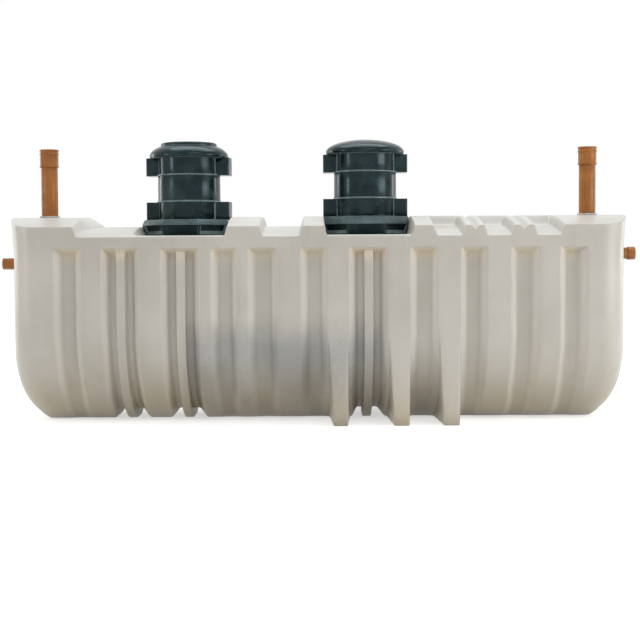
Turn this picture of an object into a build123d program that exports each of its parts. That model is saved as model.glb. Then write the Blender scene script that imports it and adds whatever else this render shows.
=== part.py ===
import os
from math import atan, cos, degrees, hypot, pi, radians, sin, sqrt

from build123d import *

os.makedirs("parts", exist_ok=True)

# Frame: X runs along the tank from outlet to inlet, Y across it, Z up from the ground.
# The origin is on the ground, under the middle of the tank. All sizes are millimetres.

# Tank body
half_width = 960
crest_z = 1922
eave_z = 1812
wall = 12
belly_flat = 150
haunch_y = 680
haunch_z = 272
haunch_share = 0.6
side_z = 800

# Ends of the tank, measured along X from the middle
end_reach = 2912
end_lean = 22
end_lean_z = 1600
end_side_z = 640
end_haunch_reach = 2800
end_haunch_z = 270
end_foot_reach = 2615
end_bow = 190
end_corner_r = 240
end_corner_share = 0.55
end_seam_gap = 30
end_levels = 10

# Recessed channels between the ribs
ledge_z = 1618
ledge_drop = 58
channel_depth = 118
deep_depth = 140
deep_keel = 88
flank = 50
outlet_channels = [(-2390, -2145)]
middle_channels = [(-972, -729), (-639, -370), (-163, 80)]
inlet_channels = [(826, 1078), (1280, 1518), (1734, 1986), (2175, 2417)]

# Deep channels: one with a stiffening rib in it, two at the chamber joints
rib_channel = (-1961, -1619)
rib_width = 76
rib_set_in = 48
rib_flank = 20
outlet_joint_x = -1248
inlet_joint_x = 450
joint_channel_half = 174
band_width = 84
band_set_in = 48

# Saddle feet under the tank
feet = [(80, 269), (628, 826), (1078, 1280)]
foot_left_draft = 42
foot_right_draft = 6
foot_deep_draft = 45
foot_chamfer_z = 60
foot_chamfer_y = 35

# Lowered pockets and grooves in the roof
pocket_depth = 93
pocket_draft = 24
through_pockets = [(-2210, -828), (-531, -145), (53, 861)]
blind_pockets = [(1036, 1319), (1490, 1759), (1939, 2208)]
blind_pocket_end_y = 300
ramp_reach = 90
bank_reach = 600
bank_foot_x = -2076
groove_xs = [1409, 1848]
groove_half = 36
groove_depth = 40

# The roof of each chamber starts just above the ledge
roof_seam_z = 1642

# Access turrets over the joints
seat_z = 1734
seat_gap = 14
manhole_r = 285
plate_half_foot = 388
plate_half = 427
plate_edge_z = 1843
plate_corner_r = 28
plate_wall = 16
plate_neck_gap = 8
plate_pocket_width = 290
plate_pocket_height = 62
plate_pocket_sink = 9
plate_pocket_corner = 10
plate_pocket_margin = 10
neck_r = 291
neck_wall = 9
neck_foot_z = 1916
lower_neck_top_z = 2098
upper_neck_foot_z = 2340
barrel_r = 300
bead_r = 309
bead_height = 12
lug_reach = 405
lug_half_width = 90
lug_height = 172
lug_corner_r = 18
lid_seat_z = 2528
lid_seat_r = 345
lid_seat_thickness = 12
lid_r = 382
lid_brim_height = 30
lid_wall = 8
lid_inner_r = 330
lid_rim_fillet = 12
lid_land = 12
lid_shoulder_r = 160
dome_top_z = 2678
hatch_r = 270
hatch_seat_z = 2593
hatch_top_z = 2632
hatch_edge_r = 20
outlet_turn = -7
inlet_turn = 0
outlet_drop = 23
inlet_drop = 0

# Pipes
drain_r = 55
vent_r = 80
pipe_wall = 4
pipe_tail = 60
overall_reach = 3057
outlet_z = 1482
inlet_z = 1551
vent_x = 2598
vent_top_z = 2578
vent_socket_length = 170
vent_socket_free = 100
socket_wall = 7
socket_bead = 5
drain_socket_length = 70
drain_socket_free = 40
stop_bead = 3
stop_bead_gap = 3
seal_flange_r = 98
seal_flange_height = 16
seal_neck_r = 90
fit_gap = 0.3

# The roof is crowned: one arc across the tank, about an axis along it
crown_rise = crest_z - eave_z
crown_r = (half_width**2 + crown_rise**2) / (2 * crown_rise)
crown_axis = Axis((0, 0, crest_z - crown_r), (1, 0, 0))
crown_angle = 16
cut_width = 2.2 * half_width
foot_taper = degrees(atan(foot_deep_draft / half_width))
channels = outlet_channels + middle_channels + inlet_channels
joint_channels = [(x - joint_channel_half, x + joint_channel_half) for x in (outlet_joint_x, inlet_joint_x)]
outlet_end_x = outlet_channels[0][0] - end_seam_gap
inlet_end_x = inlet_channels[-1][1] + end_seam_gap

# The belly and the foot of each end are arcs, so their width and reach are known at any height
belly_arc = ThreePointArc((belly_flat, 0), (haunch_y, haunch_z), (half_width, side_z), mode=Mode.PRIVATE)
end_arc = ThreePointArc(
    (end_foot_reach, 0),
    (end_haunch_reach, end_haunch_z),
    (end_reach - end_lean, end_side_z),
    mode=Mode.PRIVATE,
)


def arc_at(arc, z, skin):
    """How far out an arc lies at height z, once it is taken in by a skin."""
    centre = arc.arc_center
    return centre.X + sqrt((arc.radius - skin) ** 2 - (centre.Y - z) ** 2)


def tank_section(x, set_in, keel, skin):
    """Outline across the tank at x, its side set in and its belly lifted."""
    side = half_width - set_in - skin
    brow = half_width - skin
    low = keel + skin
    haunch = (haunch_y * side / half_width, haunch_z * (1 - keel / side_z) + keel + haunch_share * skin)
    ledge_foot = ledge_z - ledge_drop + skin
    with BuildSketch(Plane.YZ.offset(x)) as outline:
        with BuildLine():
            Line((0, low), (belly_flat, low))
            ThreePointArc((belly_flat, low), haunch, (side, side_z))
            Line((side, side_z), (side, ledge_foot))
            Line((side, ledge_foot), (brow, ledge_z + skin))
            Line((brow, ledge_z + skin), (brow, eave_z - skin))
            mirror(about=Plane.YZ)
            ThreePointArc((brow, eave_z - skin), (0, crest_z - skin), (-brow, eave_z - skin))
        make_face()
    return outline.sketch


def stations(skin):
    """Places along X where the section changes, each with its set-in and its belly lift."""
    slant = skin * hypot(flank, channel_depth) / channel_depth
    full = (0, 0)
    shallow = (channel_depth, 0)
    deep = (deep_depth, deep_keel)
    rib = (rib_set_in, 0)
    marks = [(outlet_end_x - skin, full), (inlet_end_x + skin, full)]
    for x0, x1 in channels:
        marks += [(x0 - slant, full), (x0 + flank - slant, shallow)]
        marks += [(x1 - flank + slant, shallow), (x1 + slant, full)]
    for x0, x1 in [rib_channel] + joint_channels:
        marks += [(x0 - slant, full), (x0 + flank - slant, deep)]
        marks += [(x1 - flank + slant, deep), (x1 + slant, full)]
    middle = sum(rib_channel) / 2
    near = rib_width / 2 - slant
    far = near + rib_flank
    marks += [(middle - far, deep), (middle - near, rib), (middle + near, rib), (middle + far, deep)]
    return sorted(marks)


def foot_block(x0, x1, skin):
    """Saddle foot: a drafted block right across the tank, flat on the ground."""
    top = side_z - skin
    drop = foot_deep_draft
    with BuildPart() as block:
        with BuildSketch(Plane.XZ):
            with BuildLine():
                Polyline(
                    (x0 - drop + skin, top),
                    (x1 + drop - skin, top),
                    (x1 + drop - foot_right_draft - skin, -drop),
                    (x0 - drop + foot_left_draft + skin, -drop),
                    close=True,
                )
            make_face()
        extrude(amount=half_width - skin, both=True, taper=foot_taper)
        with BuildSketch(Plane.XY.offset(skin)):
            Rectangle(2 * end_reach, cut_width)
        extrude(amount=-2 * drop - skin, mode=Mode.SUBTRACT)
        sole = block.faces().sort_by(Axis.Z)[0]
        front_and_back = sole.edges().filter_by(Axis.X)
        chamfer(front_and_back, length=foot_chamfer_y, length2=foot_chamfer_z, reference=sole)
    return block.part


def chambers_form(skin):
    """The ribbed length between the ends as one solid, taken in by a skin on every side."""
    places = stations(skin)
    pieces = [foot_block(x0, x1, skin) for x0, x1 in feet]
    for (x0, shape0), (x1, shape1) in zip(places, places[1:]):
        start = tank_section(x0, *shape0, skin)
        if shape0 == shape1:
            pieces.append(extrude(start, amount=x1 - x0, mode=Mode.PRIVATE))
        else:
            finish = tank_section(x1, *shape1, skin)
            pieces.append(loft([start, finish], ruled=True, mode=Mode.PRIVATE))
    with BuildPart() as form:
        add(pieces)
    return form.part


def end_outline(seam_x, z, skin):
    """Outline of an end seen from above at height z: a bowed face with rounded corners."""
    half = half_width - skin if z >= side_z else arc_at(belly_arc, z, skin)
    upright = end_reach - end_lean - skin
    if z < end_side_z:
        reach = arc_at(end_arc, z, skin)
    else:
        reach = upright + end_lean * max(0, z - end_lean_z) / (crest_z - end_lean_z)
    # One arc bows the face, and a corner arc on each side runs smoothly into it
    bow = end_bow * (half / half_width) ** 2
    bow_r = (half**2 + bow**2) / (2 * bow)
    bow_x = reach - bow_r
    corner = min(end_corner_r, end_corner_share * (half + skin)) - skin
    corner_x = bow_x + sqrt((bow_r - corner) ** 2 - (half - corner) ** 2)
    stretch = bow_r / (bow_r - corner)
    touch_x = bow_x + (corner_x - bow_x) * stretch
    touch_y = (half - corner) * stretch
    with BuildSketch(Plane.XY.offset(z)) as outline:
        with BuildLine():
            Polyline((corner_x, half), (seam_x, half), (seam_x, -half), (corner_x, -half))
            TangentArc((corner_x, -half), (touch_x, -touch_y), tangent=(1, 0))
            ThreePointArc((touch_x, -touch_y), (reach, 0), (touch_x, touch_y))
            TangentArc((corner_x, half), (touch_x, touch_y), tangent=(1, 0))
        make_face()
    return outline.sketch


def end_form(seam_x, skin):
    """One end as a solid: outlines that draw in towards the belly, under the crowned roof."""
    # Levels lie closest together where the belly turns, at its bottom and at its top
    steps = [(1 - cos(pi * step / end_levels)) / 2 for step in range(end_levels + 1)]
    brow = half_width - skin
    with BuildPart() as form:
        loft([end_outline(seam_x, skin + (side_z - skin) * step, skin) for step in steps])
        loft([end_outline(seam_x, z, skin) for z in (side_z, end_lean_z, crest_z)], ruled=True)
        with BuildSketch(Plane.YZ.offset(seam_x)):
            with BuildLine():
                ThreePointArc((brow, eave_z - skin), (0, crest_z - skin), (-brow, eave_z - skin))
                Polyline(
                    (-brow, eave_z - skin),
                    (-half_width - wall, eave_z),
                    (-half_width - wall, crest_z + wall),
                    (half_width + wall, crest_z + wall),
                    (half_width + wall, eave_z),
                    (brow, eave_z - skin),
                )
            make_face()
        extrude(amount=end_reach, mode=Mode.SUBTRACT)
    return form.part


def crown_outline(angle, points):
    """Outline on a plane turned about the axis of the crown; heights are those at the crest."""
    turn = radians(angle)
    plane = Plane((0, 0, crest_z - crown_r), x_dir=(1, 0, 0), z_dir=(0, -cos(turn), -sin(turn)))
    with BuildSketch(plane) as outline:
        with BuildLine():
            Polyline(*[(x, z - crest_z + crown_r) for x, z in points], close=True)
        make_face()
    return outline.sketch


def crown_cut(points, start_angle, sweep):
    """Material under an outline turned about the axis of the crown, so its floor is crowned."""
    return revolve(
        crown_outline(start_angle, points), axis=crown_axis, revolution_arc=sweep, mode=Mode.PRIVATE
    )


def pocket_points(x0, x1, depth, skin):
    """Section along X of a roof pocket with drafted walls, sunk by a depth below the crest."""
    over = crest_z + pocket_depth / 2
    slope = pocket_draft / pocket_depth
    rise = (over - crest_z) * slope
    sunk = depth * slope
    low = crest_z - depth - skin
    return [
        (x0 - rise - skin, over),
        (x1 + rise + skin, over),
        (x1 - sunk + skin, low),
        (x0 + sunk - skin, low),
    ]


def bank_points(wall_x, foot_x, skin):
    """Section along X of the bank that fills a pocket's end wall out to a foot."""
    slope = (foot_x - wall_x) / pocket_depth
    over = pocket_depth
    under = 2 * pocket_depth
    back = wall_x - 3 * pocket_depth
    return [
        (back, crest_z + over),
        (wall_x - skin - over * slope, crest_z + over),
        (wall_x - skin + under * slope, crest_z - under),
        (back, crest_z - under),
    ]


def roof_cuts(skin):
    """Everything that is sunk into the roof from above."""
    half_sweep = crown_angle
    blind_angle = degrees((blind_pocket_end_y - skin) / crown_r)
    ramp_angle = degrees(ramp_reach / crown_r)
    bank_angle = degrees(bank_reach / crown_r)
    pieces = []
    for x0, x1 in through_pockets:
        pieces.append(crown_cut(pocket_points(x0, x1, pocket_depth, skin), -half_sweep, 2 * half_sweep))
    for x0, x1 in blind_pockets:
        sunk = pocket_points(x0, x1, pocket_depth, skin)
        level = pocket_points(x0, x1, 0, skin)
        for side in (-1, 1):
            pieces.append(crown_cut(sunk, side * blind_angle, side * (half_sweep - blind_angle)))
            ramp = [
                crown_outline(side * blind_angle, sunk),
                crown_outline(side * (blind_angle - ramp_angle), level),
            ]
            pieces.append(loft(ramp, ruled=True, mode=Mode.PRIVATE))
    for x in groove_xs:
        spread = 2 * (groove_half + skin)
        top = crest_z + groove_depth
        groove = [(x - spread, top), (x + spread, top), (x, crest_z - groove_depth - skin)]
        pieces.append(crown_cut(groove, -half_sweep, 2 * half_sweep))
    with BuildPart() as cuts:
        add(pieces)
        # A bank eases the first pocket's end wall at the crest
        wall_x = through_pockets[0][0]
        steep = bank_points(wall_x, wall_x + pocket_draft, skin)
        eased = bank_points(wall_x, bank_foot_x, skin)
        loft(
            [
                crown_outline(-bank_angle, steep),
                crown_outline(0, eased),
                crown_outline(bank_angle, steep),
            ],
            mode=Mode.SUBTRACT,
        )
        # Flat seat for each turret, as wide as its pocket and clear of the plate
        for x, turn, (x0, x1) in (
            (outlet_joint_x, outlet_turn, through_pockets[0]),
            (inlet_joint_x, inlet_turn, through_pockets[2]),
        ):
            reach = plate_half + seat_gap
            low0 = max(x0, x - reach) - skin
            low1 = min(x1, x + reach) + skin
            with BuildSketch(Plane.XY.offset(seat_z - skin)):
                with Locations(((low0 + low1) / 2, 0)):
                    Rectangle(low1 - low0, cut_width)
            extrude(amount=2 * crown_rise)
            seat = turned_plane(x, turn, seat_z - skin)
            extrude(octagon(seat, reach + skin, plate_corner_r), amount=2 * crown_rise)
    return cuts.part


def turned_plane(x, turn, z):
    """Level plane over the middle of the tank at x, turned about the vertical."""
    return Plane((x, 0, z), x_dir=(cos(radians(turn)), sin(radians(turn)), 0), z_dir=(0, 0, 1))


def octagon(plane, half, corner_r):
    """Eight-sided outline with rounded corners and a flat to each main direction."""
    with BuildSketch(plane) as outline:
        RegularPolygon(half, 8, major_radius=False, rotation=22.5)
        fillet(outline.vertices(), corner_r)
    return outline.sketch


# Chambers: one hollow ribbed moulding between the ends, cut into three lengths and their roofs
with BuildPart() as chambers:
    add(chambers_form(0))
    add(roof_cuts(0), mode=Mode.SUBTRACT)

with BuildPart() as cavity:
    add(chambers_form(wall))
    add(roof_cuts(wall), mode=Mode.SUBTRACT)

with BuildPart() as hollow_tank:
    add(chambers.part)
    add(cavity.part, mode=Mode.SUBTRACT)
    # Manholes under the turrets
    with BuildSketch(Plane.XY.offset(seat_z + wall)):
        with Locations((outlet_joint_x, 0), (inlet_joint_x, 0)):
            Circle(manhole_r)
    extrude(amount=-4 * wall, mode=Mode.SUBTRACT)

seams_x = [outlet_end_x, outlet_joint_x, inlet_joint_x, inlet_end_x]
for name, x0, x1 in zip(("outlet", "middle", "inlet"), seams_x, seams_x[1:]):
    for piece, z0, z1 in (("chamber", 0, roof_seam_z), ("roof", roof_seam_z, crest_z)):
        with BuildPart() as length:
            with BuildSketch(Plane.YZ.offset(x0)):
                with Locations((0, (z0 + z1) / 2)):
                    Rectangle(cut_width, z1 - z0)
            extrude(amount=x1 - x0)
            add(hollow_tank.part, mode=Mode.INTERSECT)
        length.part.label = f"{name}_{piece}"
        export_step(length.part, f"parts/{name}_{piece}.step")

# Ends: bowed shells with a hole for a drain pipe and one for a vent pipe
for name, seam_x, drain_z in (("outlet_end", -outlet_end_x, outlet_z), ("inlet_end", inlet_end_x, inlet_z)):
    with BuildPart() as end:
        add(end_form(seam_x - wall, 0))
        add(end_form(seam_x - wall, wall), mode=Mode.SUBTRACT)
        split(bisect_by=Plane.YZ.offset(seam_x), keep=Keep.TOP)
        with BuildSketch(Plane.XY.offset(crest_z + wall)):
            with Locations((vent_x, 0)):
                Circle(seal_neck_r + fit_gap)
        extrude(amount=-4 * wall, mode=Mode.SUBTRACT)
        with BuildSketch(Plane.YZ.offset(end_reach)):
            with Locations((0, drain_z)):
                Circle(drain_r + fit_gap)
        extrude(amount=-2 * (end_lean + 2 * wall), mode=Mode.SUBTRACT)
    finished = mirror(end.part, about=Plane.YZ) if name == "outlet_end" else end.part
    finished.label = name
    export_step(finished, f"parts/{name}.step")

# Joint bands: welded straps that wrap the seams of the chambers from ledge to ledge
for name, x in (("outlet_joint_band", outlet_joint_x), ("inlet_joint_band", inlet_joint_x)):
    with BuildPart() as band:
        side = half_width - band_set_in
        top = ledge_z + 2 * wall
        with BuildSketch(Plane.YZ.offset(x - band_width / 2)):
            with BuildLine():
                Line((0, 0), (belly_flat, 0))
                ThreePointArc((belly_flat, 0), (haunch_y * side / half_width, haunch_z), (side, side_z))
                Line((side, side_z), (side, top))
                Line((side, top), (0, top))
                mirror(about=Plane.YZ)
            make_face()
        extrude(amount=band_width)
        bed = tank_section(x - band_width, deep_depth, deep_keel, 0)
        extrude(bed, amount=2 * band_width, mode=Mode.SUBTRACT)
    band.part.label = name
    export_step(band.part, f"parts/{name}.step")

# Turrets: plate, two necks with lugs, a barrel between them and a lid
for side_name, x, turn, drop in (
    ("outlet", outlet_joint_x, outlet_turn, outlet_drop),
    ("inlet", inlet_joint_x, inlet_turn, inlet_drop),
):
    stand = turned_plane(x, turn, 0)
    neck_z = neck_foot_z - drop
    barrel_z = lower_neck_top_z - drop
    upper_z = upper_neck_foot_z - drop
    lid_z = lid_seat_z - drop

    with BuildPart() as plate:
        plate_neck_half = bead_r + plate_neck_gap
        outside = [
            octagon(stand.offset(seat_z), plate_half_foot, plate_corner_r),
            octagon(stand.offset(plate_edge_z), plate_half, plate_corner_r),
            octagon(stand.offset(neck_z), plate_neck_half, plate_corner_r),
        ]
        loft(outside, ruled=True)
        inside = [
            octagon(stand.offset(seat_z), plate_half_foot - plate_wall, plate_corner_r),
            octagon(stand.offset(plate_edge_z - plate_wall), plate_half - plate_wall, plate_corner_r),
            octagon(stand.offset(neck_z - plate_wall), plate_neck_half - plate_wall, plate_corner_r),
        ]
        loft(inside, ruled=True, mode=Mode.SUBTRACT)
        with BuildSketch(stand.offset(seat_z)):
            Circle(manhole_r)
            Circle(manhole_r - neck_wall, mode=Mode.SUBTRACT)
        extrude(amount=neck_z - seat_z)
        with BuildSketch(stand.offset(seat_z)):
            Circle(manhole_r - neck_wall)
        extrude(amount=neck_z - seat_z, mode=Mode.SUBTRACT)
        # Pockets in the four diagonal facets
        lean = (plate_half - plate_half_foot) / (plate_edge_z - seat_z)
        middle_z = plate_edge_z - plate_pocket_margin - plate_pocket_height / 2
        middle_half = plate_half - (plate_edge_z - middle_z) * lean
        for quarter in range(4):
            facing = radians(turn + 45 + 90 * quarter)
            out = (cos(facing), sin(facing))
            facet = Plane(
                (x + middle_half * out[0], middle_half * out[1], middle_z),
                x_dir=(-out[1], out[0], 0),
                z_dir=(out[0], out[1], -lean),
            )
            with BuildSketch(facet):
                RectangleRounded(plate_pocket_width, plate_pocket_height, plate_pocket_corner)
            extrude(amount=-plate_pocket_sink, mode=Mode.SUBTRACT)
    plate.part.label = f"{side_name}_turret_plate"
    export_step(plate.part, f"parts/{side_name}_turret_plate.step")

    with BuildPart() as lower_neck:
        with BuildSketch(stand.offset(neck_z)):
            Circle(neck_r)
        extrude(amount=barrel_z - neck_z)
        with BuildSketch(stand.offset(barrel_z - bead_height)):
            Circle(bead_r)
        extrude(amount=bead_height)
        with BuildSketch(stand.offset(neck_z)) as lugs:
            Rectangle(2 * lug_reach, 2 * lug_half_width)
            fillet(lugs.vertices(), lug_corner_r)
        extrude(amount=lug_height)
        with BuildSketch(stand.offset(neck_z)):
            Circle(neck_r - neck_wall)
        extrude(amount=barrel_z - neck_z, mode=Mode.SUBTRACT)
    lower_neck.part.label = f"{side_name}_lower_neck"
    export_step(lower_neck.part, f"parts/{side_name}_lower_neck.step")

    with BuildPart() as barrel:
        with BuildSketch(stand.offset(barrel_z)):
            Circle(barrel_r)
            Circle(neck_r - neck_wall, mode=Mode.SUBTRACT)
        extrude(amount=upper_z - barrel_z)
    barrel.part.label = f"{side_name}_barrel"
    export_step(barrel.part, f"parts/{side_name}_barrel.step")

    with BuildPart() as upper_neck:
        with BuildSketch(stand.offset(upper_z)):
            Circle(neck_r)
        extrude(amount=lid_z - upper_z)
        with BuildSketch(stand.offset(upper_z)):
            Circle(bead_r)
        extrude(amount=bead_height)
        with BuildSketch(stand.offset(upper_z)) as lugs:
            Rectangle(2 * lug_reach, 2 * lug_half_width)
            fillet(lugs.vertices(), lug_corner_r)
        extrude(amount=lug_height)
        with BuildSketch(stand.offset(lid_z - lid_seat_thickness)):
            Circle(lid_seat_r)
        extrude(amount=lid_seat_thickness)
        with BuildSketch(stand.offset(upper_z)):
            Circle(neck_r - neck_wall)
        extrude(amount=lid_z - upper_z, mode=Mode.SUBTRACT)
    upper_neck.part.label = f"{side_name}_upper_neck"
    export_step(upper_neck.part, f"parts/{side_name}_upper_neck.step")

    # The lid is a turned dish: a full dome on the inlet, a flat land for the hatch on the outlet
    brim_z = lid_z + lid_brim_height
    rim_z = lid_z + lid_wall
    top_z = dome_top_z if side_name == "inlet" else hatch_seat_z
    dome_rise = top_z - brim_z
    dome_r = (lid_r**2 + dome_rise**2) / (2 * dome_rise)
    under_rise = top_z - lid_wall - rim_z
    under_r = (lid_inner_r**2 + under_rise**2) / (2 * under_rise)
    with BuildPart() as lid:
        with BuildSketch(Plane.XZ) as dish:
            with BuildLine():
                Polyline((0, top_z), (0, lid_z), (lid_r, lid_z), (lid_r, brim_z))
                if side_name == "inlet":
                    RadiusArc((lid_r, brim_z), (0, top_z), -dome_r)
                else:
                    RadiusArc((lid_r, brim_z), (hatch_r + lid_land, top_z), -lid_shoulder_r)
                    Line((hatch_r + lid_land, top_z), (0, top_z))
            make_face()
            fillet(dish.vertices().group_by(Axis.X)[-1], lid_rim_fillet)
        revolve(axis=Axis.Z)
        with BuildSketch(Plane.XZ):
            with BuildLine():
                Polyline((0, rim_z + under_rise), (0, lid_z), (lid_inner_r, lid_z), (lid_inner_r, rim_z))
                RadiusArc((lid_inner_r, rim_z), (0, rim_z + under_rise), -under_r)
            make_face()
        revolve(axis=Axis.Z, mode=Mode.SUBTRACT)
    turned_lid = lid.part.moved(Location((x, 0, 0)))
    turned_lid.label = f"{side_name}_lid"
    export_step(turned_lid, f"parts/{side_name}_lid.step")

# Hatch: a raised round cover on the outlet lid
with BuildPart() as hatch:
    with BuildSketch(Plane.XY.offset(hatch_seat_z).shift_origin((outlet_joint_x, 0, hatch_seat_z))):
        Circle(hatch_r)
    extrude(amount=hatch_top_z - hatch_seat_z)
    fillet(hatch.edges().group_by(Axis.Z)[-1], hatch_edge_r)
hatch.part.label = "outlet_hatch"
export_step(hatch.part, "parts/outlet_hatch.step")

# Drain pipes through the ends: a plain outlet tail and an inlet with a socket
for name, sign, z in (("outlet_pipe", -1, outlet_z), ("inlet_pipe", 1, inlet_z)):
    free = 0 if name == "outlet_pipe" else drain_socket_free
    with BuildPart() as pipe:
        with BuildSketch(Plane.YZ.offset(sign * (overall_reach - free))):
            with Locations((0, z)):
                Circle(drain_r)
                Circle(drain_r - pipe_wall, mode=Mode.SUBTRACT)
        inside_x = end_reach - end_lean - wall - pipe_tail
        extrude(amount=-sign * (overall_reach - free - inside_x))
        # Stop bead that lies against the outside of the tank
        with BuildSketch(Plane.YZ.offset(sign * (end_reach - end_lean + stop_bead_gap))):
            with Locations((0, z)):
                Circle(drain_r + stop_bead)
                Circle(drain_r - pipe_wall, mode=Mode.SUBTRACT)
        extrude(amount=sign * 2 * stop_bead)
    pipe.part.label = name
    export_step(pipe.part, f"parts/{name}.step")

with BuildPart() as inlet_socket:
    with BuildSketch(Plane.YZ.offset(overall_reach)):
        with Locations((0, inlet_z)):
            Circle(drain_r + fit_gap + socket_wall)
            Circle(drain_r + fit_gap, mode=Mode.SUBTRACT)
    extrude(amount=-drain_socket_length)
    # Stop rib inside, between the two pipe ends
    with BuildSketch(Plane.YZ.offset(overall_reach - drain_socket_free)):
        with Locations((0, inlet_z)):
            Circle(drain_r + fit_gap)
            Circle(drain_r - pipe_wall, mode=Mode.SUBTRACT)
    extrude(amount=pipe_wall)
inlet_socket.part.label = "inlet_socket"
export_step(inlet_socket.part, "parts/inlet_socket.step")

# Vent pipes through the roof, each with a socket on top and a rubber seal at its foot
for side_name, x in (("outlet", -vent_x), ("inlet", vent_x)):
    stand = Plane((x, 0, 0), x_dir=(1, 0, 0), z_dir=(0, 0, 1))
    pipe_foot_z = crest_z - wall - pipe_tail
    with BuildPart() as pipe:
        with BuildSketch(stand.offset(pipe_foot_z)):
            Circle(vent_r)
            Circle(vent_r - pipe_wall, mode=Mode.SUBTRACT)
        extrude(amount=vent_top_z - vent_socket_free - pipe_foot_z)
    pipe.part.label = f"{side_name}_vent_pipe"
    export_step(pipe.part, f"parts/{side_name}_vent_pipe.step")

    with BuildPart() as socket:
        bore = vent_r + fit_gap
        foot_z = vent_top_z - vent_socket_length
        with BuildSketch(stand.offset(foot_z)):
            Circle(bore + socket_wall)
            Circle(bore, mode=Mode.SUBTRACT)
        extrude(amount=vent_socket_length)
        for ring_z in (foot_z, vent_top_z - vent_socket_free / 2, vent_top_z - 2 * socket_wall):
            with BuildSketch(stand.offset(ring_z)):
                Circle(bore + socket_wall + socket_bead)
                Circle(bore, mode=Mode.SUBTRACT)
            extrude(amount=2 * socket_wall)
        with BuildSketch(stand.offset(vent_top_z - vent_socket_free)):
            Circle(bore)
            Circle(vent_r - pipe_wall, mode=Mode.SUBTRACT)
        extrude(amount=pipe_wall)
    socket.part.label = f"{side_name}_vent_socket"
    export_step(socket.part, f"parts/{side_name}_vent_socket.step")

    with BuildPart() as seal:
        with BuildSketch(stand.offset(crest_z - 2 * wall)):
            Circle(seal_neck_r)
            Circle(vent_r + fit_gap, mode=Mode.SUBTRACT)
        extrude(amount=2 * wall)
        with BuildSketch(stand.offset(crest_z)):
            Circle(seal_flange_r)
            Circle(vent_r + fit_gap, mode=Mode.SUBTRACT)
        extrude(amount=seal_flange_height)
    seal.part.label = f"{side_name}_vent_seal"
    export_step(seal.part, f"parts/{side_name}_vent_seal.step")
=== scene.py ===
from math import asin, cos, pi, radians, sin, sqrt

import bmesh
import bpy
from mathutils import Matrix, Vector


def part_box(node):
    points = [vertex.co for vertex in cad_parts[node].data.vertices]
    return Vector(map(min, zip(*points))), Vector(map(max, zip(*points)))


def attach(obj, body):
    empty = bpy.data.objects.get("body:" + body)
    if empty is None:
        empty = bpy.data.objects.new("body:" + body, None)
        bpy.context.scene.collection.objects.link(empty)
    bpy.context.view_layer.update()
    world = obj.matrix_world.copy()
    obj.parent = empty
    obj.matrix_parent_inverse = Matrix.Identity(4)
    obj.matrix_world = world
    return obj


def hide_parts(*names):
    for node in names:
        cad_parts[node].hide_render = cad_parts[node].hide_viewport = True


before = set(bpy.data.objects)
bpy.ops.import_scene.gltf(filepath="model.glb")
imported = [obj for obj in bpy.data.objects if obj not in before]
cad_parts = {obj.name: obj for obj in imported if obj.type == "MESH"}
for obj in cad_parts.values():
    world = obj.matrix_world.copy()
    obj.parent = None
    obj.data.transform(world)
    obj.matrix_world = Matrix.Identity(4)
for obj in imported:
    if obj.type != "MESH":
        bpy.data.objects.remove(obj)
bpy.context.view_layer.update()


# The tank.
# One milky skin of rotomoulded polyethylene about 12 mm thick, in three chambers with their roofs
# and two bowed ends. The hull is drawn plain here, and the mould's channels are pressed in after.
half_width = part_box("middle_roof")[1][1]
crest_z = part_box("inlet_end")[1][2]
roof_seam_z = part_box("middle_roof")[0][2]
outlet_end_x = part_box("outlet_chamber")[0][0]
outlet_joint_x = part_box("outlet_chamber")[1][0]
inlet_joint_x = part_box("inlet_chamber")[0][0]
inlet_end_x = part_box("inlet_chamber")[1][0]
end_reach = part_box("inlet_end")[1][0]
wall = 0.012

# Section: a narrow flat underneath, a round belly, an upright side, a ledge and the edge of the roof
belly_flat = 0.150
haunch = (0.680, 0.272)
side_z = 0.800
ledge_foot_z = 1.560
ledge_z = 1.618
eave_z = 1.812
eave_r = 0.014

# Channels pressed into the sides; the deep ones lift the belly as well
soft = 0.007
flank = 0.078
shallow_depth = 0.118
deep_depth = 0.140
belly_lift = 0.088
rib_width = 0.076
rib_flank = 0.020
rib_set_in = 0.048
seam_channel_half = 0.174

# Eight shallow, a deep one with a rib inside, one over each seam: start, end, depth, lift, width of rib
channels = [(x0, x1, shallow_depth, 0.0, 0.0) for x0, x1 in (
    (-2.390, -2.145), (-0.972, -0.729), (-0.639, -0.370), (-0.163, 0.080),
    (0.826, 1.078), (1.280, 1.518), (1.734, 1.986), (2.175, 2.417),
)]
channels.append((-1.961, -1.619, deep_depth, belly_lift, rib_width))
for x in (outlet_joint_x, inlet_joint_x):
    channels.append((x - seam_channel_half, x + seam_channel_half, deep_depth, belly_lift, 0.0))

# Saddle feet: places, flare and lean of their walls, rounded edges and cut corners
feet = [(0.080, 0.269), (0.628, 0.826), (1.078, 1.280)]
foot_flare = 0.045
foot_left_draft = 0.042
foot_right_draft = 0.006
foot_edge_r = 0.014
foot_chamfer = (0.035, 0.060)
foot_wall = 0.006      # length along the tank in which the belly steps out to a foot
foot_hem = 0.02        # strip beside each wall that leans as one with it
foot_give = 0.1        # length outside a foot in which the belly gives way to its flare
edge_fade_y = 0.2      # where the rounding of a foot's edges begins, across and down
edge_fade_z = 0.15
sole_rows = 7

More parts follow.
